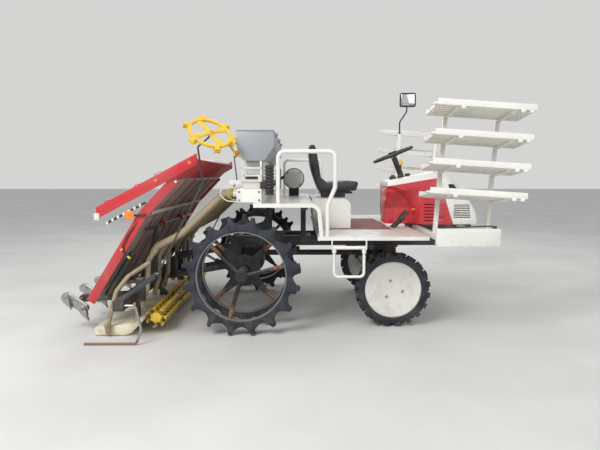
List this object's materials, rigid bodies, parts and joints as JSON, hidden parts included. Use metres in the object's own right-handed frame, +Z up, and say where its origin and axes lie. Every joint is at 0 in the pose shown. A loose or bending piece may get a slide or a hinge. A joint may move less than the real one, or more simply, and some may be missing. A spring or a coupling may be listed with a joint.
{
  "type": "rice transplanter",
  "caption": "Riding rice transplanter with lugged wheels, spare seedling racks, fertiliser hopper, sloping seedling table and rotary planting heads on a lifting rear frame.",
  "frame": {"origin": "on the floor under the middle of the machine's box", "axes": "+X forward, +Y to the machine's left, +Z up"},
  "size_m": [3.2648, 2.3176, 1.9631],
  "materials": {
    "white_paint": "gloss, lightly worn",
    "red_paint": "gloss",
    "hood_red": "gloss",
    "hood_white": "gloss",
    "dark_frame": "satin, dusty",
    "casting": "cast, dusty",
    "engine": "matt",
    "mat": "matt",
    "seat_vinyl": "satin",
    "black_plastic": "satin",
    "grey_plastic": "satin",
    "lid_plastic": "satin",
    "white_plastic": "satin",
    "hose_beige": "matt",
    "pipe_clear": "satin",
    "float_cream": "satin",
    "table_grey": "ribbed",
    "yellow_plastic": "satin",
    "bare_steel": "worn",
    "mirror_shell": "satin",
    "lamp_glass": "clear",
    "tyre_rubber": "matt"
  },
  "bodies": {
    "chassis": {"main_frame": "dark_frame", "floor_carriers": "dark_frame", "engine_block": "engine", "front_axle": "casting", "rear_axle": "casting", "step_floor": "white_paint", "floor_mat": "mat", "rear_deck": "white_paint", "seat_pan": "dark_frame", "hood_body": "hood_red", "dash_panel": "hood_white", "controls": "black_plastic", "side_bumpers": "white_paint", "handrails": "white_paint", "rack_frames": "white_paint", "rack_shelves": "white_paint", "side_mirror": "mirror_shell", "hopper": "grey_plastic", "metering_unit": "white_plastic", "applicator_stand": "white_paint", "blower": "black_plastic"},
    "seat": {"seat_pad": "seat_vinyl"},
    "lid": {"hopper_lid": "lid_plastic"},
    "bonnet": {"front_cowl": "hood_white", "headlamps": "lamp_glass"},
    "ladder_right": {"ladder_right": "white_paint"},
    "ladder_left": {"ladder_left": "white_paint"},
    "lower_links": {"lower_links": "dark_frame"},
    "upper_link": {"upper_link": "dark_frame"},
    "lift_cylinder": {"lift_cylinder": "dark_frame"},
    "lift_rod": {"lift_rod": "bare_steel"},
    "planting_unit": {"planting_frame": "dark_frame", "drop_pipes": "pipe_clear", "floats": "float_cream", "end_guards": "bare_steel"},
    "seedling_table": {"table_panel": "table_grey", "table_ends": "red_paint"},
    "planting_rotors": {"planting_rotors": "bare_steel"},
    "levelling_rotor": {"levelling_rotor": "yellow_plastic"},
    "marker_arm_right": {"marker_arm_right": "dark_frame"},
    "marker_arm_left": {"marker_arm_left": "dark_frame"},
    "marker_wheel_right": {"marker_wheel_right": "yellow_plastic"},
    "marker_wheel_left": {"marker_wheel_left": "yellow_plastic"},
    "hoses": {"hoses": "hose_beige"},
    "steering_wheel": {"steering_wheel": "black_plastic"},
    "knuckle_right": {"knuckle_right": "casting"},
    "knuckle_left": {"knuckle_left": "casting"},
    "tie_rod": {"tie_rod": "dark_frame"},
    "front_wheel_right": {"front_rim_right": "white_paint", "front_tyre_right": "tyre_rubber"},
    "front_wheel_left": {"front_rim_left": "white_paint", "front_tyre_left": "tyre_rubber"},
    "rear_wheel_right": {"rear_hub_right": "dark_frame", "rear_tyre_right": "tyre_rubber"},
    "rear_wheel_left": {"rear_hub_left": "dark_frame", "rear_tyre_left": "tyre_rubber"}
  },
  "joints": [
    {"name": "steer_left", "type": "hinge", "parent": "chassis", "child": "knuckle_left", "pos_m": [0.809, 0.47, 0.4], "axis": [0, 0, 1], "range_deg": [-40, 40]},
    {"name": "steer_right", "type": "hinge", "parent": "chassis", "child": "knuckle_right", "pos_m": [0.809, -0.47, 0.4], "axis": [0, 0, 1], "range_deg": [-40, 40]},
    {"name": "tie_rod_end", "type": "hinge", "parent": "knuckle_left", "child": "tie_rod", "pos_m": [0.669, 0.47, 0.352], "axis": [0, 0, 1], "range_deg": [-40, 40]},
    {"name": "steering_wheel_turn", "type": "hinge", "parent": "chassis", "child": "steering_wheel", "pos_m": [0.915, 0, 1.321], "axis": [-0.3746, 0, 0.9272], "range_deg": [-360, 360]},
    {"name": "front_spin_right", "type": "hinge", "parent": "knuckle_right", "child": "front_wheel_right", "pos_m": [0.809, -0.618, 0.2825], "axis": [0, 1, 0], "continuous": true},
    {"name": "front_spin_left", "type": "hinge", "parent": "knuckle_left", "child": "front_wheel_left", "pos_m": [0.809, 0.618, 0.2825], "axis": [0, 1, 0], "continuous": true},
    {"name": "rear_spin_right", "type": "hinge", "parent": "chassis", "child": "rear_wheel_right", "pos_m": [-0.311, -0.61, 0.425], "axis": [0, 1, 0], "continuous": true},
    {"name": "rear_spin_left", "type": "hinge", "parent": "chassis", "child": "rear_wheel_left", "pos_m": [-0.311, 0.61, 0.425], "axis": [0, 1, 0], "continuous": true},
    {"name": "lift", "type": "hinge", "parent": "chassis", "child": "lower_links", "pos_m": [-0.461, 0, 0.38], "axis": [0, 1, 0], "range_deg": [0, 34]},
    {"name": "upper_link_pivot", "type": "hinge", "parent": "chassis", "child": "upper_link", "pos_m": [-0.461, 0, 0.53], "axis": [0, 1, 0], "range_deg": [0, 34]},
    {"name": "planting_level", "type": "hinge", "parent": "lower_links", "child": "planting_unit", "pos_m": [-0.961, 0, 0.292], "axis": [0, 1, 0], "range_deg": [-34, 0]},
    {"name": "cylinder_pivot", "type": "hinge", "parent": "chassis", "child": "lift_cylinder", "pos_m": [-0.469, 0, 0.3], "axis": [0, 1, 0], "range_deg": [0, 22.37]},
    {"name": "rod_slide", "type": "slide", "parent": "lift_cylinder", "child": "lift_rod", "axis": [-0.8502, 0, 0.5265], "range_m": [0, 0.1079]},
    {"name": "hose_swing", "type": "hinge", "parent": "chassis", "child": "hoses", "pos_m": [-0.373, 0, 1.01], "axis": [0, 1, 0], "range_deg": [0, 23.43], "deforming": ["hoses"]},
    {"name": "table_slide", "type": "slide", "parent": "planting_unit", "child": "seedling_table", "axis": [0, 1, 0], "range_m": [-0.14, 0.14]},
    {"name": "planting_spin", "type": "hinge", "parent": "planting_unit", "child": "planting_rotors", "pos_m": [-1.539, 0, 0.214], "axis": [0, 1, 0], "continuous": true},
    {"name": "levelling_spin", "type": "hinge", "parent": "planting_unit", "child": "levelling_rotor", "pos_m": [-0.933, 0, 0.122], "axis": [0, 1, 0], "continuous": true},
    {"name": "marker_fold_right", "type": "hinge", "parent": "planting_unit", "child": "marker_arm_right", "pos_m": [-0.871, -0.985, 0.47], "axis": [1, 0, 0], "range_deg": [0, 100]},
    {"name": "marker_fold_left", "type": "hinge", "parent": "planting_unit", "child": "marker_arm_left", "pos_m": [-0.871, 0.985, 0.47], "axis": [-1, 0, 0], "range_deg": [0, 100]},
    {"name": "marker_spin_right", "type": "hinge", "parent": "marker_arm_right", "child": "marker_wheel_right", "pos_m": [-0.489, -1.012, 1.42], "axis": [0.3602, -0.5803, 0.7304], "continuous": true},
    {"name": "marker_spin_left", "type": "hinge", "parent": "marker_arm_left", "child": "marker_wheel_left", "pos_m": [-0.489, 1.012, 1.42], "axis": [0.3602, 0.5803, 0.7304], "continuous": true},
    {"name": "seat_fold", "type": "hinge", "parent": "chassis", "child": "seat", "pos_m": [0.539, 0, 0.999], "axis": [0, 1, 0], "range_deg": [0, 50]},
    {"name": "lid_open", "type": "hinge", "parent": "chassis", "child": "lid", "pos_m": [-0.064, 0, 1.445], "axis": [0, 1, 0], "range_deg": [0, 95]},
    {"name": "bonnet_open", "type": "hinge", "parent": "chassis", "child": "bonnet", "pos_m": [1.557, 0, 0.752], "axis": [0, 1, 0], "range_deg": [0, 60]},
    {"name": "ladder_fold_right", "type": "hinge", "parent": "chassis", "child": "ladder_right", "pos_m": [0.442, -0.955, 0.646], "axis": [1, 0, 0], "range_deg": [0, 90]},
    {"name": "ladder_fold_left", "type": "hinge", "parent": "chassis", "child": "ladder_left", "pos_m": [0.442, 0.955, 0.646], "axis": [-1, 0, 0], "range_deg": [0, 90]}
  ],
  "couplings": [
    {"joint": "steer_right", "follows": "steer_left", "ratio": 1},
    {"joint": "tie_rod_end", "follows": "steer_left", "ratio": -1},
    {"joint": "steering_wheel_turn", "follows": "steer_left", "ratio": 9},
    {"joint": "upper_link_pivot", "follows": "lift", "ratio": 1},
    {"joint": "planting_level", "follows": "lift", "ratio": -1},
    {"joint": "cylinder_pivot", "follows": "lift", "ratio": 0.6284},
    {"joint": "rod_slide", "follows": "lift", "m_per_rad": 0.1784},
    {"joint": "hose_swing", "follows": "lift", "ratio": 0.65964}
  ]
}
